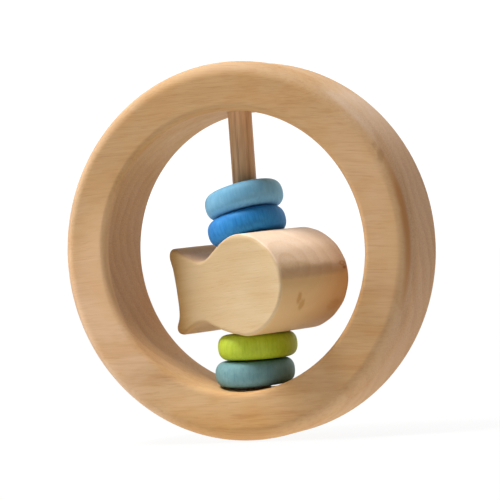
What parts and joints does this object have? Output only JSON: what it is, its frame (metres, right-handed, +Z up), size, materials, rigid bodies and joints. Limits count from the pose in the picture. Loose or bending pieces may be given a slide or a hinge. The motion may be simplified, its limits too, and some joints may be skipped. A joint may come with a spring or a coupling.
{
  "type": "wooden grasping rattle",
  "caption": "Wooden ring rattle that stands on its rim, with an upright dowel across its bore carrying loose stained discs and a wooden fish that slide and spin.",
  "frame": {"origin": "middle of the rim's lowest facet, on the plane that the ring stands on", "axes": "+Z up along the dowel, +Y along the ring's own axis towards the back, +X to the right seen from the front, with the fish's nose on the +X side"},
  "size_m": [0.12, 0.0509, 0.1199],
  "materials": {
    "ring": "sanded pale hardwood, oiled",
    "dowel": "sanded dowel rod, unpainted",
    "grey_blue_disc": "water stain in pale grey-blue, satin",
    "green_disc": "water stain in yellow-green, satin",
    "fish": "sanded pale hardwood, oiled",
    "blue_disc": "water stain in strong blue, satin",
    "light_blue_disc": "water stain in light blue, satin"
  },
  "bodies": {
    "ring_frame": {"ring": "ring", "dowel": "dowel"},
    "grey_blue_disc": {"grey_blue_disc": "grey_blue_disc"},
    "green_disc": {"green_disc": "green_disc"},
    "fish": {"fish": "fish"},
    "blue_disc": {"blue_disc": "blue_disc"},
    "light_blue_disc": {"light_blue_disc": "light_blue_disc"}
  },
  "joints": [
    {"name": "stack_lift", "type": "slide", "parent": "ring_frame", "child": "grey_blue_disc", "axis": [0, 0, 1], "range_m": [0, 0.02]},
    {"name": "green_disc_spin", "type": "hinge", "parent": "grey_blue_disc", "child": "green_disc", "pos_m": [0.0009, 0, 0.02958], "axis": [0, -0.0087, 1], "continuous": true},
    {"name": "fish_spin", "type": "hinge", "parent": "grey_blue_disc", "child": "fish", "pos_m": [0.0004, 0, 0.0489], "axis": [0, 0, 1], "continuous": true},
    {"name": "blue_disc_spin", "type": "hinge", "parent": "fish", "child": "blue_disc", "pos_m": [0.00018, -0.00009, 0.06763], "axis": [-0.2327, 0.0882, 0.9685], "continuous": true},
    {"name": "light_blue_disc_spin", "type": "hinge", "parent": "fish", "child": "light_blue_disc", "pos_m": [-0.00026, 0.00014, 0.07607], "axis": [-0.2327, 0.0882, 0.9685], "continuous": true}
  ]
}
